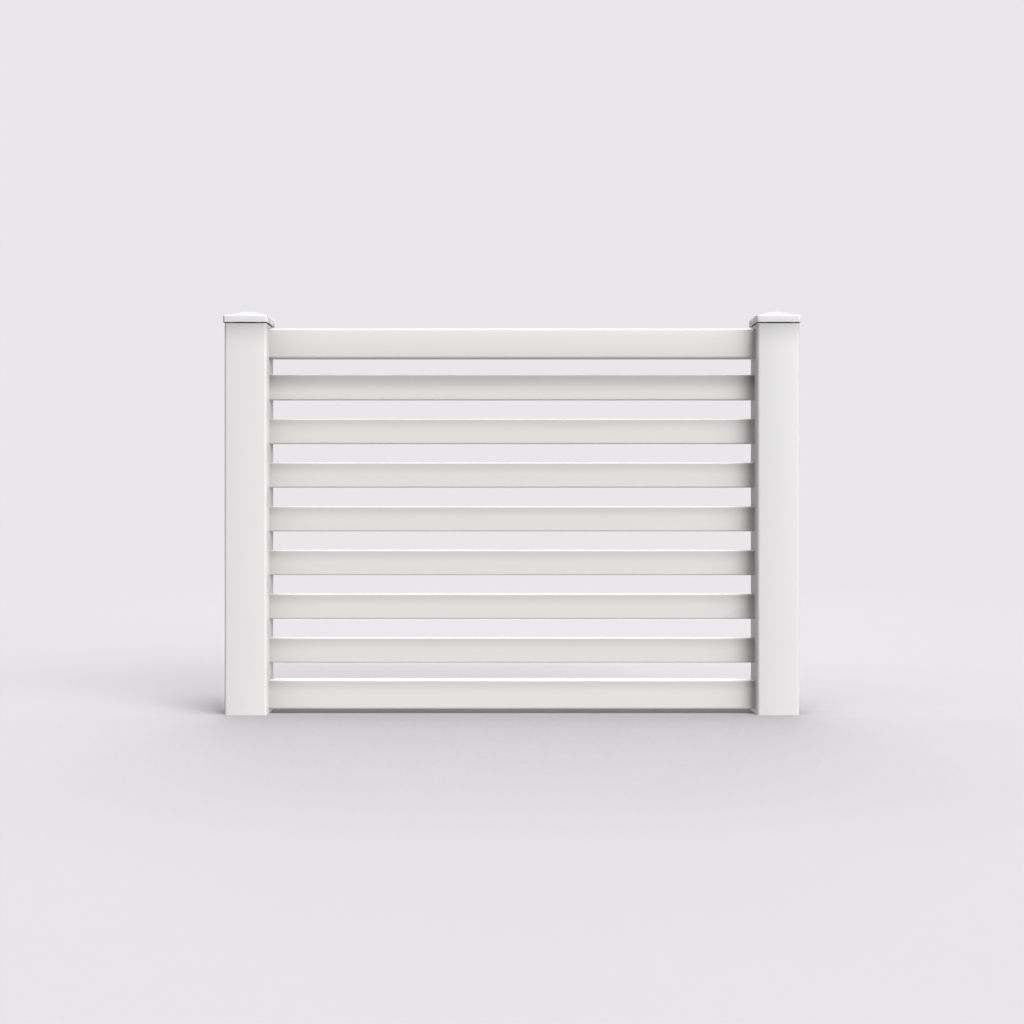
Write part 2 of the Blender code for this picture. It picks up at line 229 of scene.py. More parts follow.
def add_node(tree, kind, inputs=None, output=0, **settings):
    """Adds a node with its settings and links, and returns one output. A list links several."""
    node = tree.nodes.new(kind)
    for name, value in settings.items():
        setattr(node, name, value)
    for key, value in (inputs or {}).items():
        for source in value if isinstance(value, list) else [value]:
            if isinstance(source, bpy.types.NodeSocket):
                tree.links.new(source, node.inputs[key])
            else:
                node.inputs[key].default_value = source
    return node.outputs[output] if node.outputs else None


def new_tree(draw, floats, others):
    """A geometry tree with these named inputs, whose drawn shape ends as real geometry."""
    tree = bpy.data.node_groups.new(draw.__name__, "GeometryNodeTree")
    tree.interface.new_socket("Geometry", in_out="OUTPUT", socket_type="NodeSocketGeometry")
    kinds = {**dict.fromkeys(floats, "Float"), **others, "Material": "Material"}
    for label, kind in kinds.items():
        tree.interface.new_socket(label, in_out="INPUT", socket_type=f"NodeSocket{kind}")
    add = partial(add_node, tree)
    given = tree.nodes.new("NodeGroupInput").outputs
    real = add("GeometryNodeRealizeInstances", {"Geometry": draw(add, given)})
    dressed = add("GeometryNodeSetMaterial", {"Geometry": real, "Material": given["Material"]})
    add("NodeGroupOutput", {"Geometry": dressed})
    return tree


def add_outline(add, width, height, corner, steps):
    """A rounded rectangle about the origin."""
    sharp = add("GeometryNodeCurvePrimitiveQuadrilateral", {"Width": width, "Height": height})
    rounding = {"Curve": sharp, "Count": steps, "Radius": corner, "Limit Radius": True}
    return add("GeometryNodeFilletCurve", rounding, mode="POLY")


def add_bar(add, outlines, bar_length):
    """The area between the outlines, extruded along Z, centred and closed."""
    drawn = add("GeometryNodeJoinGeometry", {"Geometry": outlines})
    end = add("GeometryNodeFillCurve", {"Curve": drawn}, mode="TRIANGLES")
    reach = {"Mesh": end, "Offset": (0, 0, 1), "Offset Scale": bar_length, "Individual": False}
    raised = add("GeometryNodeExtrudeMesh", reach, mode="FACES")
    start = add("GeometryNodeFlipFaces", {"Mesh": end})
    closed = add("GeometryNodeJoinGeometry", {"Geometry": [raised, start]})
    welded = add("GeometryNodeMergeByDistance", {"Geometry": closed, "Distance": WELD})
    down = add("ShaderNodeMath", {0: bar_length, 1: -0.5}, operation="MULTIPLY")
    place = add("ShaderNodeCombineXYZ", {"Z": down})
    return add("GeometryNodeTransform", {"Geometry": welded, "Translation": place})


def add_hollow_bar(add, given):
    """A hollow section along Z, with a mark on its sawn ends."""
    wall, corner, steps = given["Wall"], given["Corner"], given["Corner steps"]
    inner = []
    for side in ("Width", "Height"):
        thinning = {0: wall, 1: -2.0, 2: given[side]}
        inner.append(add("ShaderNodeMath", thinning, operation="MULTIPLY_ADD"))
    thinned = add("ShaderNodeMath", {0: corner, 1: wall}, operation="SUBTRACT")
    least = add("ShaderNodeMath", {0: wall, 1: LEAST_CORNER}, operation="MULTIPLY")
    inner.append(add("ShaderNodeMath", {0: thinned, 1: least}, operation="MAXIMUM"))
    outlines = [
        add_outline(add, given["Width"], given["Height"], corner, steps),
        add_outline(add, *inner, steps),
    ]
    bar = add_bar(add, outlines, given["Length"])
    normal = add("GeometryNodeInputNormal")
    tilt = add("ShaderNodeSeparateXYZ", {0: normal}, output="Z")
    level = add("ShaderNodeMath", {0: tilt}, operation="ABSOLUTE")
    sawn = add("ShaderNodeMath", {0: level, 1: END_TILT}, operation="GREATER_THAN")
    mark = {"Geometry": bar, "Name": "sawn", "Value": sawn}
    return add("GeometryNodeStoreNamedAttribute", mark, data_type="FLOAT", domain="FACE")


def add_depth_mark(add, bar, height, share=0.5):
    """Notes on each point how far it lies below the bar's upper edge, at this share of its height."""
    place = add("GeometryNodeInputPosition")
    level = add("ShaderNodeSeparateXYZ", {0: place}, output="Z")
    edge = add("ShaderNodeMath", {0: height, 1: share}, operation="MULTIPLY")
    below = add("ShaderNodeMath", {0: edge, 1: level}, operation="SUBTRACT")
    mark = {"Geometry": bar, "Name": "below_top", "Value": below}
    return add("GeometryNodeStoreNamedAttribute", mark, data_type="FLOAT", domain="POINT")


def add_row(add, shape, count, start, step, wanted=True):
    """Copies of the shape in even steps, of which only the wanted ones are made."""
    points = add("GeometryNodeMeshLine", {"Count": count, "Start Location": start, "Offset": step})
    copying = {"Points": points, "Selection": wanted, "Instance": shape}
    copies = add("GeometryNodeInstanceOnPoints", copying)
    return add("GeometryNodeRealizeInstances", {"Geometry": copies})


def add_pair_places(add, axis, distance, height=0.0):
    """Start and step of a row of two, this far to either side along the axis."""
    back = add("ShaderNodeMath", {0: distance, 1: -1.0}, operation="MULTIPLY")
    apart = add("ShaderNodeMath", {0: distance, 1: 2.0}, operation="MULTIPLY")
    start = add("ShaderNodeCombineXYZ", {axis: back, "Z": height})
    return start, add("ShaderNodeCombineXYZ", {axis: apart})


def add_cutters(add, shape, count, start, step, wanted=True):
    """A row of cutters, whose faces mark what they cut as sawn."""
    mark = {"Geometry": shape, "Name": "sawn", "Value": 1.0}
    marked = add("GeometryNodeStoreNamedAttribute", mark, data_type="FLOAT", domain="FACE")
    return add_row(add, marked, count, start, step, wanted)


def picket_stack(add, given):
    """One picket, by its number, of a stack that rises in even steps."""
    bar = add_hollow_bar(add, given)
    lying = add("GeometryNodeTransform", {"Geometry": bar, "Rotation": LYING_TURN})
    lying = add_depth_mark(add, lying, given["Height"])
    index = add("GeometryNodeInputIndex")
    number = add("ShaderNodeMath", {0: index, 1: 1.0}, operation="ADD")
    wanted = add("ShaderNodeMath", {0: number, 1: given["Number"], 2: 0.5}, operation="COMPARE")
    start = add("ShaderNodeCombineXYZ", {"Z": given["First height"]})
    step = add("ShaderNodeCombineXYZ", {"Z": given["Pitch"]})
    return add_row(add, lying, given["Count"], start, step, wanted)


def routed_post(add, given):
    """A hollow post with one wall routed for two rails and a stack of pickets."""
    bar = add_hollow_bar(add, given)
    middle = add("ShaderNodeMath", {0: given["Length"], 1: 0.5}, operation="MULTIPLY")
    place = add("ShaderNodeCombineXYZ", {"X": given["Post place"], "Z": middle})
    shaft = add("GeometryNodeTransform", {"Geometry": bar, "Translation": place})
    cutters = []
    for hole, count, height, rise in (
        ("Rail hole", 2, "Rail height", "Rail step"),
        ("Picket hole", given["Count"], "First height", "Pitch"),
    ):
        width, tall, corner = [
            add("ShaderNodeSeparateXYZ", {0: given[hole]}, output=axis) for axis in "XYZ"
        ]
        outline = add_outline(add, width, tall, corner, given["Corner steps"])
        plug = add_bar(add, [outline], given["Routed depth"])
        lying = add("GeometryNodeTransform", {"Geometry": plug, "Rotation": LYING_TURN})
        start = add("ShaderNodeCombineXYZ", {"X": given["Routed wall"], "Z": given[height]})
        step = add("ShaderNodeCombineXYZ", {"Z": given[rise]})
        cutters.append(add_cutters(add, lying, count, start, step))
    cutting = {"Mesh 1": shaft, "Mesh 2": cutters}
    routed = add("GeometryNodeMeshBoolean", cutting, operation="DIFFERENCE", solver="EXACT")
    return add_depth_mark(add, routed, given["Length"], share=1.0)


def notched_rail(add, given):
    """A lying hollow rail, notched for its lock rings and, if wanted, drilled to drain."""
    bar = add_hollow_bar(add, given)
    lying = add("GeometryNodeTransform", {"Geometry": bar, "Rotation": LYING_TURN})
    notch = add("GeometryNodeMeshCube", {"Size": given["Notch"]})
    drilling = {"Vertices": DRILL_SIDES, "Radius": given["Drill radius"], "Depth": given["Drill depth"]}
    drill = add("GeometryNodeMeshCylinder", drilling)
    floor = add("ShaderNodeMath", {0: given["Height"], 1: -0.5}, operation="MULTIPLY")
    cutters = []
    for shape, place, height, wanted in (
        (notch, "Notch place", 0.0, True),
        (drill, "Drill place", floor, given["Drilled"]),
    ):
        places = add_pair_places(add, "X", given[place], height)
        cutters.append(add_cutters(add, shape, 2, *places, wanted))
    cutting = {"Mesh 1": lying, "Mesh 2": cutters}
    cut = add("GeometryNodeMeshBoolean", cutting, operation="DIFFERENCE", solver="EXACT")
    cut = add_depth_mark(add, cut, given["Height"])
    place = add("ShaderNodeCombineXYZ", {"Z": given["Rail height"]})
    return add("GeometryNodeTransform", {"Geometry": cut, "Translation": place})


def legged_cap(add, given):
    """Hangs two legs under each side of the cap's shell, and sets the cap over its post."""
    shell, leg = [
        add("GeometryNodeObjectInfo", {"Object": given[part]}, output="Geometry")
        for part in ("Shell", "Leg")
    ]
    pair = add_row(add, leg, 2, *add_pair_places(add, "Y", given["Leg spread"]))
    index = add("GeometryNodeInputIndex")
    turned = add("ShaderNodeMath", {0: index, 1: QUARTER_TURN}, operation="MULTIPLY")
    turns = add("ShaderNodeCombineXYZ", {"Z": turned})
    turn = add("FunctionNodeEulerToRotation", {0: turns})
    middle = add("GeometryNodePoints", {"Count": 4})
    copies = add("GeometryNodeInstanceOnPoints", {"Points": middle, "Instance": pair, "Rotation": turn})
    legs = add("GeometryNodeRealizeInstances", {"Geometry": copies})
    whole = add("GeometryNodeMeshBoolean", {"Mesh 2": [shell, legs]}, operation="UNION", solver="EXACT")
    place = add("ShaderNodeCombineXYZ", {"X": given["Post place"], "Z": given["Post top"]})
    return add("GeometryNodeTransform", {"Geometry": whole, "Translation": place})


# Meshes

def new_object(name, data):
    added = bpy.data.objects.new(name, data)
    bpy.context.scene.collection.objects.link(added)
    return added


def new_body(name, bm):
    """A new object with the drawn mesh, which ends the drawing."""
    mesh = bpy.data.meshes.new(name)
    bm.to_mesh(mesh)
    bm.free()
    return new_object(name, mesh)


def grow(name, tree, values):
    """Runs the tree with these values and leaves its result as a plain mesh."""
    piece = new_object(name, bpy.data.meshes.new(f"{name}_start"))
    modifier = piece.modifiers.new(tree.name, "NODES")
    modifier.node_group = tree
    for socket in tree.interface.items_tree:
        if socket.in_out == "INPUT":
            modifier[socket.identifier] = values[socket.name]
    piece.update_tag()
    evaluated = piece.evaluated_get(bpy.context.evaluated_depsgraph_get())
    mesh = bpy.data.meshes.new_from_object(evaluated)
    mesh.name = name
    piece.modifiers.remove(modifier)
    piece.data = mesh
    finish_mesh(mesh)
    return piece


def finish_mesh(mesh):
    """Welds the mesh, turns its faces outwards and rounds its shading, short of the creases."""
    bm = bmesh.new()
    bm.from_mesh(mesh)
    bmesh.ops.remove_doubles(bm, verts=bm.verts, dist=WELD)
    bmesh.ops.recalc_face_normals(bm, faces=bm.faces)
    if not bm.faces or any(not edge.is_manifold for edge in bm.edges):
        raise RuntimeError(f"{mesh.name} isn't a closed body")
    bm.to_mesh(mesh)
    bm.free()
    mesh.shade_smooth()
    mesh.set_sharp_from_angle(angle=CREASE)


def read(items, name, kind=np.float32, width=1):
    """One value of each item, or one row where the width is more than one."""
    values = np.empty(len(items) * width, kind)
    items.foreach_get(name, values)
    return values.reshape(-1, width) if width > 1 else values


def bow_walls(piece, node, along, corner, bow):
    """Shades the outer walls of a bar as if they bowed out by this angle at their edges.

    The walls stay flat. A bow of nothing only keeps the rounded corners from shading them.
    """
    mesh = piece.data
    middle, half = np.array(node_centre(node)), np.array(node_size(node)) / 2
    normals = read(mesh.corner_normals, "vector", width=3)
    owners = read(mesh.loops, "vertex_index", np.int32)
    places = read(mesh.vertices, "co", width=3)[owners] - middle
    sawn = read(mesh.attributes["sawn"].data, "value")
    skin = np.repeat(sawn < 0.5, read(mesh.polygons, "loop_total", np.int32))
    axes = [axis for axis in (X, Y, Z) if axis != along]
    for across, out in (axes, axes[::-1]):
        flat = half[across] - corner
        wall = skin & (np.abs(np.abs(places[:, out]) - half[out]) < ON_WALL)
        wall &= np.abs(places[:, across]) < flat + ON_WALL
        turn = bow * places[wall, across] / flat
        normals[wall] = 0
        normals[wall, across] = np.sin(turn)
        normals[wall, out] = np.cos(turn) * np.sign(places[wall, out])
    mesh.normals_split_custom_set(normals.tolist())


def rounded_square(half, radius, steps):
    """Points of a rounded square about the origin, anticlockwise from its right side."""
    points = []
    for quarter, (side_x, side_y) in enumerate(((1, 1), (-1, 1), (-1, -1), (1, -1))):
        for step in range(steps + 1):
            turn = QUARTER_TURN * (quarter + step / steps)
            points.append((
                side_x * (half - radius) + radius * math.cos(turn),
                side_y * (half - radius) + radius * math.sin(turn),
            ))
    return points


# Places from the frame

def node_size(node):
    low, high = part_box(node)
    return high - low


def node_centre(node):
    low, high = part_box(node)
    return (low + high) / 2


def post_top():
    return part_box("left_post")[1].z


def bar_values(sizes, kind, node, along):
    """Section and length of a bar, for its tree."""
    size = node_size(node)
    width, height = [size[axis] for axis in (X, Y, Z) if axis != along]
    return {
        "Width": width,
        "Height": height,
        "Wall": getattr(sizes, f"{kind}_wall"),
        "Corner": getattr(sizes, f"{kind}_corner"),
        "Corner steps": sizes.corner_steps,
        "Length": size[along],
    }


def stack_values():
    """Count, first height and step of the pickets."""
    heights = [node_centre(name).z for name in PICKETS]
    pitch = (heights[-1] - heights[0]) / (len(heights) - 1)
    return {"Count": len(heights), "First height": heights[0], "Pitch": pitch}


def rail_values():
    """Height of the bottom rail, and the step up to the top rail."""
    low, high = [node_centre(name).z for name in ("bottom_rail", "top_rail")]
    return {"Rail height": low, "Rail step": high - low}


def hole_for(node, corner, room):
    """Depth, height and corner of the routed hole for a rail or picket."""
    size = node_size(node)
    return size.y + 2 * room, size.z + 2 * room, corner + room


def cap_tip():
    """Height of a cap's tip over the post's top."""
    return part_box("left_post_cap")[1].z - post_top()


def cap_pitch(sizes):
    """Slope of a cap's roof."""
    half = node_size("left_post_cap").x / 2
    rise = cap_tip() - sizes.cap_reveal - sizes.cap_skirt
    return math.atan(rise / (half - sizes.cap_crown / 2))


def roof_height(sizes, distance):
    """Height of a cap's roof over the post's top, at this distance from its middle."""
    slope = math.tan(cap_pitch(sizes))
    if distance < sizes.cap_crown:
        return cap_tip() - slope * distance**2 / (2 * sizes.cap_crown)
    return cap_tip() - slope * (distance - sizes.cap_crown / 2)


# Caps

def cap_rings(sizes):
    """Rings (half side, height, corner) down over the roof and the skirt and up inside the cap."""
    half = node_size("left_post_cap").x / 2
    inside = half - sizes.cap_wall
    pitch = cap_pitch(sizes)
    steep = QUARTER_TURN - pitch
    crown = [sizes.cap_crown * step / CROWN_STEPS for step in range(1, CROWN_STEPS + 1)]
    outer = [(distance, roof_height(sizes, distance)) for distance in crown]
    arris_height = sizes.cap_reveal + sizes.cap_skirt - sizes.cap_arris * math.tan(steep / 2)
    for step in range(ARRIS_STEPS, -1, -1):
        turn = steep * step / ARRIS_STEPS
        distance = half - sizes.cap_arris * (1 - math.cos(turn))
        outer.append((distance, arris_height + sizes.cap_arris * math.sin(turn)))
    lip, level = sizes.cap_lip, sizes.cap_reveal + sizes.cap_lip
    turns = [QUARTER_TURN * step / LIP_STEPS for step in range(LIP_STEPS + 1)]
    outer += [(half - lip + lip * math.cos(turn), level - lip * math.sin(turn)) for turn in turns]
    inner = [(inside + lip - lip * math.sin(turn), level - lip * math.cos(turn)) for turn in turns]
    for distance in (inside, sizes.cap_crown, sizes.cap_crown / 2):
        inner.append((distance, roof_height(sizes, distance) - sizes.cap_wall / math.cos(pitch)))
    rings = [(distance, height, sizes.cap_corner * distance / half) for distance, height in outer]
    inner_corner = sizes.cap_corner - sizes.cap_wall
    return rings + [(distance, height, inner_corner * distance / inside) for distance, height in inner]


def cap_shell(sizes):
    """The cap without its legs, about the middle of its post's top."""
    bm = bmesh.new()
    loops = []
    for half, height, corner in cap_rings(sizes):
        outline = rounded_square(half, corner, sizes.corner_steps)
        loops.append([bm.verts.new((*point, height)) for point in outline])
    for upper, lower in zip(loops, loops[1:]):
        for index in range(len(upper)):
            bm.faces.new((upper[index - 1], upper[index], lower[index], lower[index - 1]))
    tip = bm.verts.new((0, 0, roof_height(sizes, 0)))
    for index in range(len(loops[0])):
        bm.faces.new((tip, loops[0][index], loops[0][index - 1]))
    bm.faces.new(loops[-1])
    bmesh.ops.recalc_face_normals(bm, faces=bm.faces)
    return new_body("cap_shell", bm)


def cap_leg(sizes):
    """One leg on the cap's right side: it hangs from the roof and the skirt, sits on the post's cut
    top and reaches down inside the post's wall."""
    wall = node_size("left_post").x / 2
    skin = node_size("left_post_cap").x / 2 - sizes.cap_wall
    in_skirt = skin + sizes.cap_wall / 2
    outer = wall - sizes.post_wall - sizes.leg_room
    inner = outer - sizes.leg_width
    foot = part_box("left_post_cap")[0].z - post_top()
    into_roof = sizes.cap_wall / 2 / math.cos(cap_pitch(sizes))
    outline = [
        (wall - sizes.leg_setback, sizes.seat_room),
        (in_skirt, sizes.cap_reveal + sizes.leg_setback),
        (in_skirt, sizes.cap_reveal + sizes.cap_skirt - sizes.cap_arris),
        (skin, roof_height(sizes, skin) - into_roof),
        (inner, roof_height(sizes, inner) - into_roof),
        (inner, foot),
        (outer - 2 * sizes.leg_setback, foot),
        (outer, foot + 2 * sizes.leg_setback),
        (outer, sizes.seat_room),
    ]
    half = sizes.leg_thickness / 2
    bm = bmesh.new()
    front = [bm.verts.new((distance, -half, height)) for distance, height in outline]
    back = [bm.verts.new((distance, half, height)) for distance, height in outline]
    for index in range(len(outline)):
        bm.faces.new((front[index - 1], front[index], back[index], back[index - 1]))
    bm.faces.new(front)
    bm.faces.new(back)
    bmesh.ops.recalc_face_normals(bm, faces=bm.faces)
    return new_body("cap_leg", bm)


# Materials

def new_material(name, draw, *values, **more):
    """A material whose surface is drawn on the object's own coordinates."""
    material = bpy.data.materials.new(name)
    material.use_nodes = True
    material.node_tree.nodes.clear()
    add = partial(add_node, material.node_tree)
    surface = draw(add, add("ShaderNodeTexCoord", output="Object"), *values, **more)
    add("ShaderNodeOutputMaterial", {"Surface": surface})
    return material


def add_grain(add, place, size, detail, distortion=0.0):
    """Noise whose grains measure these metres along X, Y and Z."""
    scaled = add("ShaderNodeMapping", {"Vector": place, "Scale": tuple(1 / side for side in size)})
    noise = {"Vector": scaled, "Scale": 1.0, "Detail": detail, "Distortion": distortion}
    return add("ShaderNodeTexNoise", noise)


def add_surface(add, base, shade, gloss, relief, depth, firmness, more):
    """A surface whose base colour loses this share of its light, with relief of this depth."""
    kept = add("ShaderNodeMath", {0: 1.0, 1: shade}, operation="SUBTRACT")
    grey = add("ShaderNodeCombineColor", {0: kept, 1: kept, 2: kept})
    dimming = {0: 1.0, 6: (*base, 1), 7: grey}
    dimmed = add("ShaderNodeMix", dimming, output=2, data_type="RGBA", blend_type="MULTIPLY")
    bump = add("ShaderNodeBump", {"Strength": firmness, "Distance": depth, "Height": relief})
    finish = {"Base Color": dimmed, "Roughness": gloss, "Normal": bump, **more}
    return add("ShaderNodeBsdfPrincipled", finish)


def extruded_pvc(add, place, base, along, film=0.0, film_depth=0.0, dust=0.0, dust_reach=0.0):
    """Rigid white PVC, drawn through a steel die and cut with a fine saw.

    The die leaves a satin skin with faint lines along the run. Tone and gloss drift slowly along it,
    handling leaves a few long rubs, and the sawn ends are matt. Painted shadow greys the colour under
    the upper edges of level boards and under the caps, and painted shade greys it beside the posts.
    """

    def grain(run, across, detail):
        """Noise whose grains measure this many metres along the run and across it."""
        size = [across] * 3
        size[along] = run
        return add_grain(add, place, size, detail)

    # Real die lines lie 0.5 mm to 3 mm apart. These are at the coarse end, so that they show close by.
    lines = grain(0.9, 0.0030, 2.0)
    # Skin texture, about 1 mm across
    skin = grain(0.0012, 0.0012, 2.0)
    # Tone and gloss drift over about 0.3 m along the run and 60 mm across it
    drift = grain(0.30, 0.060, 3.0)
    # Rubs from handling, 90 mm long and 3 mm wide, are the few places where their noise is high
    rubs = {"Value": grain(0.090, 0.0030, 3.0), "From Min": 0.64, "From Max": 0.74}
    rubbed = add("ShaderNodeMapRange", rubs, interpolation_type="SMOOTHSTEP")
    sawn = add("ShaderNodeAttribute", output="Fac", attribute_name="sawn")

    # Drift takes up to 2% of the light, and a rub another 1.2%
    shade = add("ShaderNodeMapRange", {"Value": drift, **NOISE_RANGE, "To Max": 0.02})
    shade = add("ShaderNodeMath", {0: rubbed, 1: 0.012, 2: shade}, operation="MULTIPLY_ADD")
    # Painted shadow, darkest just under the upper edge and fading out further down
    if film:
        below = add("ShaderNodeAttribute", output="Fac", attribute_name="below_top")
        # The painted shadow starts 4 mm down, and its edges wander by up to 5 mm with the drift
        wander = add("ShaderNodeMapRange", {"Value": drift, "To Min": -0.005, "To Max": 0.005})
        below = add("ShaderNodeMath", {0: below, 1: wander}, operation="ADD")
        fade = {"Value": below, "From Min": 0.004, "From Max": film_depth, "To Min": film, "To Max": 0.0}
        filmed = add("ShaderNodeMapRange", fade, interpolation_type="SMOOTHSTEP")
        shade = add("ShaderNodeMath", {0: shade, 1: filmed}, operation="ADD")
    # Painted shade beside the posts, fading out away from them
    if dust:
        run = add("ShaderNodeSeparateXYZ", {0: place}, output=along)
        run = add("ShaderNodeMath", {0: run}, operation="ABSOLUTE")
        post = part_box("right_post")[0][along]
        away = {"Value": run, "From Max": post, "To Min": -post / dust_reach, "To Max": 0.0}
        away = add("ShaderNodeMapRange", away)
        settled = add("ShaderNodeMath", {0: away}, operation="EXPONENT")
        shade = add("ShaderNodeMath", {0: settled, 1: dust, 2: shade}, operation="MULTIPLY_ADD")

    # Satin, a little rougher in the rubs and matt on the sawn ends
    gloss = add("ShaderNodeMapRange", {"Value": drift, **NOISE_RANGE, "To Min": 0.32, "To Max": 0.40})
    gloss = add("ShaderNodeMath", {0: rubbed, 1: 0.10, 2: gloss}, operation="MULTIPLY_ADD")
    gloss = add("ShaderNodeMix", {0: sawn, 2: gloss, 3: SAWN_ROUGHNESS}, data_type="FLOAT")

    # Saw marks, drawn 1.4 mm apart across the cut ends so that they show: tau / (10 sqrt(2) scale)
    marks = {"Vector": place, "Scale": 1000 / math.pi, "Distortion": 2.0, "Detail": 2.0}
    teeth = add("ShaderNodeTexWave", marks, output="Fac", bands_direction="DIAGONAL")
    # The skin's texture stands out a third as much as the die lines
    texture = add("ShaderNodeMath", {0: skin, 1: 0.35, 2: lines}, operation="MULTIPLY_ADD")
    relief = add("ShaderNodeMix", {0: sawn, 2: texture, 3: teeth}, data_type="FLOAT")
    return add_surface(add, base, shade, gloss, relief, PVC_RELIEF, 0.6, {"IOR": PVC_IOR})


def moulded_pvc(add, place, base, settled, rim):
    """Rigid white PVC, injected into a spark-eroded mould.

    The mould leaves a fine even texture, with slow swirls of gloss where the melt flowed. The roof is
    matt, with painted shade against the strong light from above. The skirt, below the rim at this
    height, is plain.
    """
    # Spark-eroded texture, drawn 0.9 mm across so that it shows close by
    texture = add_grain(add, place, (0.0009,) * 3, 3.0)
    # Swirls of the melt, about 35 mm across
    flow = add_grain(add, place, (0.035,) * 3, 3.0, distortion=1.5)
    shade = add("ShaderNodeMapRange", {"Value": flow, **NOISE_RANGE, "To Max": 0.02})
    height = add("ShaderNodeSeparateXYZ", {0: place}, output="Z")
    # The roof's matt finish and painted shade set in 1 mm under the rim and are full 1.5 mm over it
    dusty = {"Value": height, "From Min": rim - 0.0010, "From Max": rim + 0.0015}
    dusty = add("ShaderNodeMapRange", dusty, interpolation_type="SMOOTHSTEP")
    shade = add("ShaderNodeMath", {0: dusty, 1: settled, 2: shade}, operation="MULTIPLY_ADD")
    gloss = add("ShaderNodeMapRange", {"Value": flow, **NOISE_RANGE, "To Min": 0.34, "To Max": 0.42})
    gloss = add("ShaderNodeMix", {0: dusty, 2: gloss, 3: DUST_ROUGHNESS}, data_type="FLOAT")
    return add_surface(add, base, shade, gloss, texture, PVC_RELIEF, 0.5, {"IOR": PVC_IOR})


def rolled_aluminium(add, place, base):
    """Aluminium sheet, rolled and die-cut: bright, with rolling lines and a few dull scuffs."""
    # Rolling lines run up the ring, drawn 0.4 mm apart so that they show
    lines = add_grain(add, place, (0.0004, 0.0004, 0.060), 2.0)
    # Scuffs about 6 mm across
    scuffs = add_grain(add, place, (0.006,) * 3, 4.0)
    dulled = {"Value": scuffs, "From Min": 0.35, "From Max": 0.7, "To Min": 0.30, "To Max": 0.48}
    gloss = add("ShaderNodeMapRange", dulled)
    shade = add("ShaderNodeMapRange", {"Value": lines, **NOISE_RANGE, "To Max": 0.07})
    return add_surface(add, base, shade, gloss, lines, METAL_RELIEF, 0.4, {"Metallic": 1.0})


def galvanised_steel(add, place, base):
    """Steel strip, hot-dip zinc coated and roll-formed: grey spangles, each with its own tone and
    gloss, and a faint roll line along the trough."""
    # Zinc spangles, about 8 mm across
    spangle = add("ShaderNodeTexVoronoi", {"Vector": place, "Scale": 1 / 0.008}, output="Color")
    tone = add("ShaderNodeSeparateColor", {0: spangle})
    shade = add("ShaderNodeMapRange", {"Value": tone, "To Max": 0.18})
    gloss = add("ShaderNodeMapRange", {"Value": tone, "To Min": 0.32, "To Max": 0.50})
    # Roll lines run along X, about 1.5 mm apart
    lines = add_grain(add, place, (0.5, 0.0015, 0.0015), 2.0)
    return add_surface(add, base, shade, gloss, lines, METAL_RELIEF, 0.4, {"Metallic": 1.0})


def painted_floor(add, place, studio):
    """Matt paint, rolled on: a faint stipple, which fades into the backdrop's plain colour far away."""
    # Roller stipple, about 4 mm across and 0.1 mm deep, and a drift in tone over about 0.5 m
    stipple = add_grain(add, place, (0.004,) * 3, 2.0)
    drift = add_grain(add, place, (0.5,) * 3, 2.0)
    shade = add("ShaderNodeMapRange", {"Value": drift, "To Max": 0.01})
    # Whatever stands close keeps some of the soft light away
    sky = add("ShaderNodeAmbientOcclusion", {"Distance": SHADE_REACH}, output="AO", samples=8)
    contact = {"Value": sky, "From Min": LEAST_SKY, "To Min": studio.contact, "To Max": 0.0}
    contact = add("ShaderNodeMapRange", contact)
    shade = add("ShaderNodeMath", {0: shade, 1: contact}, operation="ADD")
    dull = {"Specular IOR Level": 0.2}
    paint = add_surface(add, studio.floor, shade, 0.9, stipple, 0.0001, 0.2, dull)
    backdrop = add("ShaderNodeEmission", {"Color": (*studio.backdrop, 1)})
    distance = add("ShaderNodeVectorMath", {0: place}, output="Value", operation="LENGTH")
    fade = {"Value": distance, "From Min": studio.floor_near, "From Max": studio.floor_far}
    share = add("ShaderNodeMapRange", fade, interpolation_type="SMOOTHSTEP")
    return add("ShaderNodeMixShader", {0: share, 1: paint, 2: backdrop})


# Operators

def dress(piece, node, body):
    """Puts the finished piece in its node's place."""
    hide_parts(node)
    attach(piece, body)


class FENCE_OT_posts(bpy.types.Operator):
    """Add both posts, routed for the rails and pickets"""

    bl_idname = "fence.add_posts"
    bl_label = "Posts"

    def execute(self, context):
        sizes, finish = context.scene.fence_sizes, context.scene.fence_finish
        # Painted shadow down the posts, under the caps
        drips = (finish.drip, finish.drip_depth)
        material = new_material("extruded_post_pvc", extruded_pvc, finish.post, Z, *drips)
        places = ("Post place", "Routed wall", "Rail height", "Rail step", "First height", "Pitch")
        others = {"Corner steps": "Int", "Count": "Int", "Rail hole": "Vector", "Picket hole": "Vector"}
        tree = new_tree(routed_post, (*SECTION, *places, "Routed depth"), others)
        for side, sign in SIDES:
            node = f"{side}_post"
            size, centre = node_size(node), node_centre(node)
            piece = grow(f"{node}_routed", tree, {
                **bar_values(sizes, "post", node, Z),
                **stack_values(),
                **rail_values(),
                "Post place": centre.x,
                "Routed wall": centre.x - sign * (size.x - sizes.post_wall) / 2,
                "Routed depth": THROUGH * sizes.post_wall,
                "Rail hole": hole_for("top_rail", sizes.rail_corner, sizes.route_room),
                "Picket hole": hole_for(PICKETS[0], sizes.picket_corner, sizes.route_room),
                "Material": material,
            })
            bow_walls(piece, node, Z, sizes.post_corner, sizes.post_bow)
            dress(piece, node, "fence")
        return {"FINISHED"}


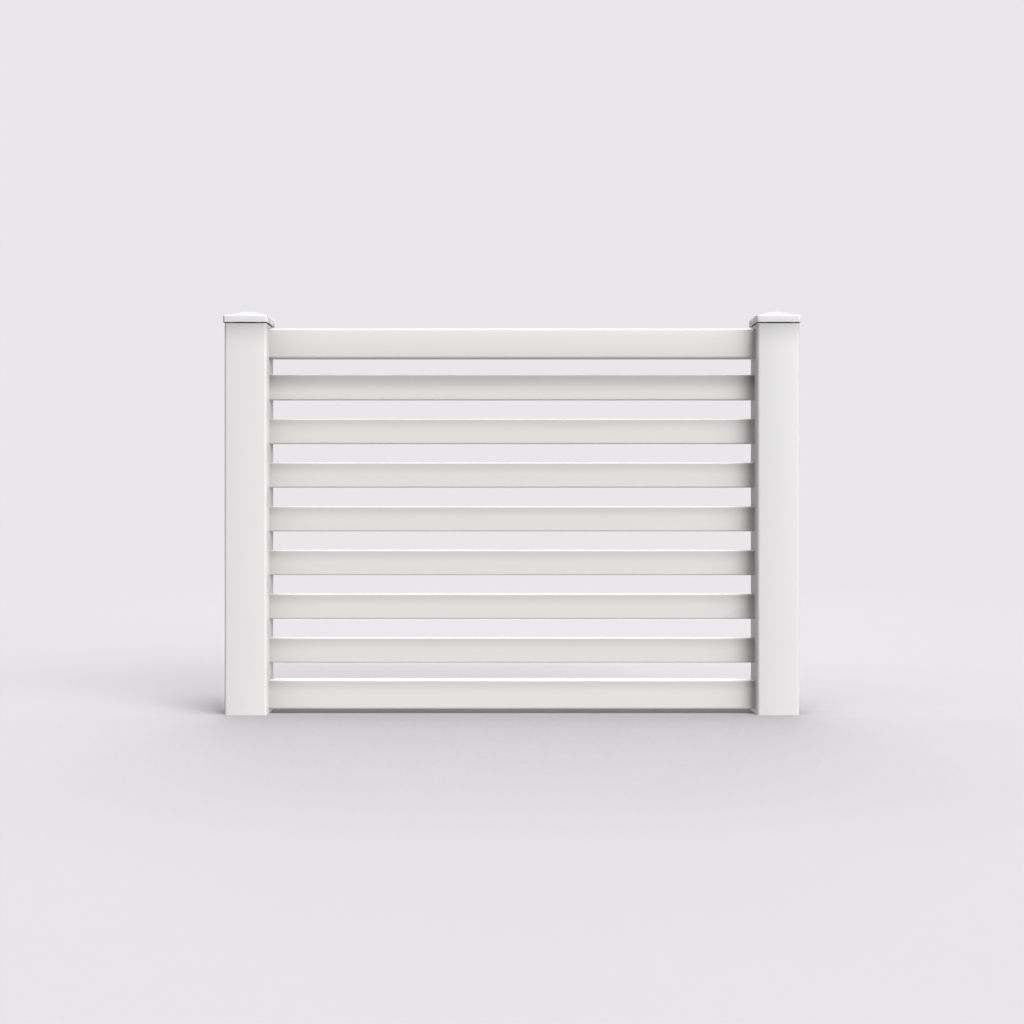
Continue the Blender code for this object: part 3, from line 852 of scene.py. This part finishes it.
class FENCE_OT_caps(bpy.types.Operator):
    """Add the caps with their legs"""

    bl_idname = "fence.add_caps"
    bl_label = "Caps"

    def execute(self, context):
        sizes, finish = context.scene.fence_sizes, context.scene.fence_finish
        # Painted shade on the caps' roofs, from the rim up
        rim = post_top() + sizes.cap_reveal + sizes.cap_skirt
        material = new_material("moulded_cap_pvc", moulded_pvc, finish.cap, finish.settled, rim)
        shell, leg = cap_shell(sizes), cap_leg(sizes)
        floats = ("Leg spread", "Post place", "Post top")
        tree = new_tree(legged_cap, floats, {"Shell": "Object", "Leg": "Object"})
        for side, _ in SIDES:
            piece = grow(f"{side}_cap_moulding", tree, {
                "Shell": shell,
                "Leg": leg,
                "Leg spread": sizes.leg_spread,
                "Post place": node_centre(f"{side}_post").x,
                "Post top": post_top(),
                "Material": material,
            })
            dress(piece, f"{side}_post_cap", f"{side}_cap")
        for part in (shell, leg):
            bpy.data.objects.remove(part)
        return {"FINISHED"}


class FENCE_OT_rails(bpy.types.Operator):
    """Add the top and bottom rails"""

    bl_idname = "fence.add_rails"
    bl_label = "Rails"

    def execute(self, context):
        sizes, finish = context.scene.fence_sizes, context.scene.fence_finish
        # Painted shade beside the posts on both rails
        dust = {"dust": finish.dust, "dust_reach": finish.dust_reach}
        # Painted shadow under the bottom rail's upper edge
        film = {"film": finish.film, "film_depth": finish.film_depth}
        plain = new_material("extruded_rail_pvc", extruded_pvc, finish.rail, X, **dust)
        filmed = new_material("filmed_rail_pvc", extruded_pvc, finish.rail, X, **film, **dust)
        floats = (*SECTION, "Rail height", "Notch place", "Drill place", "Drill radius", "Drill depth")
        others = {"Corner steps": "Int", "Notch": "Vector", "Drilled": "Bool"}
        tree = new_tree(notched_rail, floats, others)
        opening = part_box("right_post")[0].x
        for node, material, bow, drilled in (
            ("top_rail", plain, sizes.top_rail_bow, False),
            ("bottom_rail", filmed, 0, True),
        ):
            piece = grow(f"{node}_notched", tree, {
                **bar_values(sizes, "rail", node, X),
                "Rail height": node_centre(node).z,
                "Notch": (sizes.notch_length, 2 * node_size(node).y, sizes.notch_height),
                "Notch place": node_centre("top_right_lock_ring").x,
                "Drilled": drilled,
                "Drill radius": sizes.drill_radius,
                "Drill depth": THROUGH * sizes.rail_wall,
                "Drill place": opening - sizes.drill_inset,
                "Material": material,
            })
            bow_walls(piece, node, X, sizes.rail_corner, bow)
            dress(piece, node, "fence")
        return {"FINISHED"}


class FENCE_OT_pickets(bpy.types.Operator):
    """Add the level pickets between the rails"""

    bl_idname = "fence.add_pickets"
    bl_label = "Pickets"

    def execute(self, context):
        sizes, finish = context.scene.fence_sizes, context.scene.fence_finish
        floats = (*SECTION, "First height", "Pitch")
        counts = dict.fromkeys(("Corner steps", "Count", "Number"), "Int")
        tree = new_tree(picket_stack, floats, counts)
        # Painted shadow under each board's upper edge, deeper on the board under the top rail
        films = {
            "extruded_picket_pvc": (finish.film, finish.film_depth),
            "extruded_top_picket_pvc": (finish.top_film, finish.top_film_depth),
        }
        # Painted shade beside the posts
        dust = (finish.dust, finish.dust_reach)
        plain, top = [
            new_material(name, extruded_pvc, finish.picket, X, *film, *dust)
            for name, film in films.items()
        ]
        for number, node in enumerate(PICKETS, 1):
            piece = grow(f"{node}_board", tree, {
                **bar_values(sizes, "picket", node, X),
                **stack_values(),
                "Number": number,
                "Material": top if node == PICKETS[-1] else plain,
            })
            bow_walls(piece, node, X, sizes.picket_corner, 0)
            dress(piece, node, "fence")
        return {"FINISHED"}


class FENCE_OT_fittings(bpy.types.Operator):
    """Finish the hidden lock rings and the stiffener in their metals"""

    bl_idname = "fence.finish_fittings"
    bl_label = "Lock rings and stiffener"

    def execute(self, context):
        finish = context.scene.fence_finish
        aluminium = new_material("rolled_aluminium", rolled_aluminium, finish.aluminium)
        steel = new_material("galvanised_steel", galvanised_steel, finish.zinc)
        metals = {**dict.fromkeys(LOCK_RINGS, aluminium), "bottom_rail_stiffener": steel}
        for node, metal in metals.items():
            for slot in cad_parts[node].material_slots:
                slot.material = metal
        return {"FINISHED"}


class FENCE_OT_studio(bpy.types.Operator):
    """Add the floor, the backdrop, the lights and the camera"""

    bl_idname = "fence.add_studio"
    bl_label = "Studio"

    def execute(self, context):
        studio = context.scene.fence_studio
        self.add_floor(studio)
        self.add_backdrop(context.scene, studio)
        for name in ("key", "top", "back"):
            self.add_soft_box(name, studio)
        self.add_camera(context.scene)
        context.scene.view_settings.view_transform = "Standard"
        return {"FINISHED"}

    def add_floor(self, studio):
        bm = bmesh.new()
        bmesh.ops.create_circle(bm, cap_ends=True, segments=FLOOR_SIDES, radius=FLOOR_RADIUS)
        floor = new_body("studio_floor", bm)
        floor.data.materials.append(new_material("matt_floor_paint", painted_floor, studio))
        # The light that the floor sends back comes from the backdrop's lower half
        floor.visible_diffuse = False
        floor.visible_glossy = False

    def add_backdrop(self, scene, studio):
        """A pale colour to look at, over soft light from above, from all round and from below."""
        world = bpy.data.worlds.new("studio")
        world.use_nodes = True
        world.node_tree.nodes.clear()
        add = partial(add_node, world.node_tree)
        direction = add("ShaderNodeTexCoord", output="Generated")
        height = add("ShaderNodeSeparateXYZ", {0: direction}, output="Z")
        rise = {"Value": height, "To Min": studio.walls, "To Max": studio.ceiling}
        above = add("ShaderNodeMapRange", rise)
        below = studio.ground / studio.walls
        fall = {"Value": height, "From Min": GROUND_LIGHT_END, "From Max": 0.0, "To Min": below}
        light = add("ShaderNodeMapRange", fall)
        light = add("ShaderNodeMath", {0: above, 1: light}, operation="MULTIPLY")
        pale = (*studio.backdrop, 1)
        soft = add("ShaderNodeBackground", {"Color": pale, "Strength": light})
        plain = add("ShaderNodeBackground", {"Color": pale})
        seen = add("ShaderNodeLightPath", output="Is Camera Ray")
        both = add("ShaderNodeMixShader", {0: seen, 1: soft, 2: plain})
        add("ShaderNodeOutputWorld", {"Surface": both})
        scene.world = world

    def add_soft_box(self, name, studio):
        """A broad light, far enough away to look the same all along the fence."""
        light = bpy.data.lights.new(f"{name}_soft_box", "SUN")
        light.energy = getattr(studio, name)
        light.angle = getattr(studio, f"{name}_spread")
        turn, height = getattr(studio, f"{name}_turn"), getattr(studio, f"{name}_height")
        flat = math.cos(height)
        towards = Vector((math.sin(turn) * flat, -math.cos(turn) * flat, math.sin(height)))
        box = new_object(f"{name}_soft_box", light)
        box.location = SOFT_BOX_DISTANCE * towards
        box.rotation_euler = towards.to_track_quat("Z", "Y").to_euler()

    def add_camera(self, scene):
        """A level camera at half the fence's height, square to its front."""
        camera = new_object("camera", bpy.data.cameras.new("camera"))
        camera.data.lens = LENS_MM
        camera.data.sensor_width = SENSOR_MM
        camera.location = CAMERA_PLACE
        camera.rotation_euler = (QUARTER_TURN, 0, 0)
        scene.camera = camera


OPERATORS = (
    FENCE_OT_posts,
    FENCE_OT_caps,
    FENCE_OT_rails,
    FENCE_OT_pickets,
    FENCE_OT_fittings,
    FENCE_OT_studio,
)
GROUPS = {"fence_sizes": FenceSizes, "fence_finish": FenceFinish, "fence_studio": FenceStudio}


class FENCE_PT_panel(bpy.types.Panel):
    """The fence's pieces and their settings"""

    bl_label = "Horizontal picket fence"
    bl_idname = "FENCE_PT_panel"
    bl_space_type = "VIEW_3D"
    bl_region_type = "UI"
    bl_category = "Fence"

    def draw(self, context):
        for operator in OPERATORS:
            self.layout.operator(operator.bl_idname)
        for name, group in GROUPS.items():
            box = self.layout.box()
            for setting in group.__annotations__:
                box.prop(getattr(context.scene, name), setting)


def register():
    for name, group in GROUPS.items():
        bpy.utils.register_class(group)
        setattr(bpy.types.Scene, name, PointerProperty(type=group))
    for kind in (*OPERATORS, FENCE_PT_panel):
        bpy.utils.register_class(kind)


def unregister():
    for kind in (FENCE_PT_panel, *reversed(OPERATORS)):
        bpy.utils.unregister_class(kind)
    for name, group in GROUPS.items():
        delattr(bpy.types.Scene, name)
        bpy.utils.unregister_class(group)


def main():
    register()
    bpy.ops.fence.add_posts()
    bpy.ops.fence.add_caps()
    bpy.ops.fence.add_rails()
    bpy.ops.fence.add_pickets()
    bpy.ops.fence.finish_fittings()
    bpy.ops.fence.add_studio()


if __name__ == "__main__":
    main()
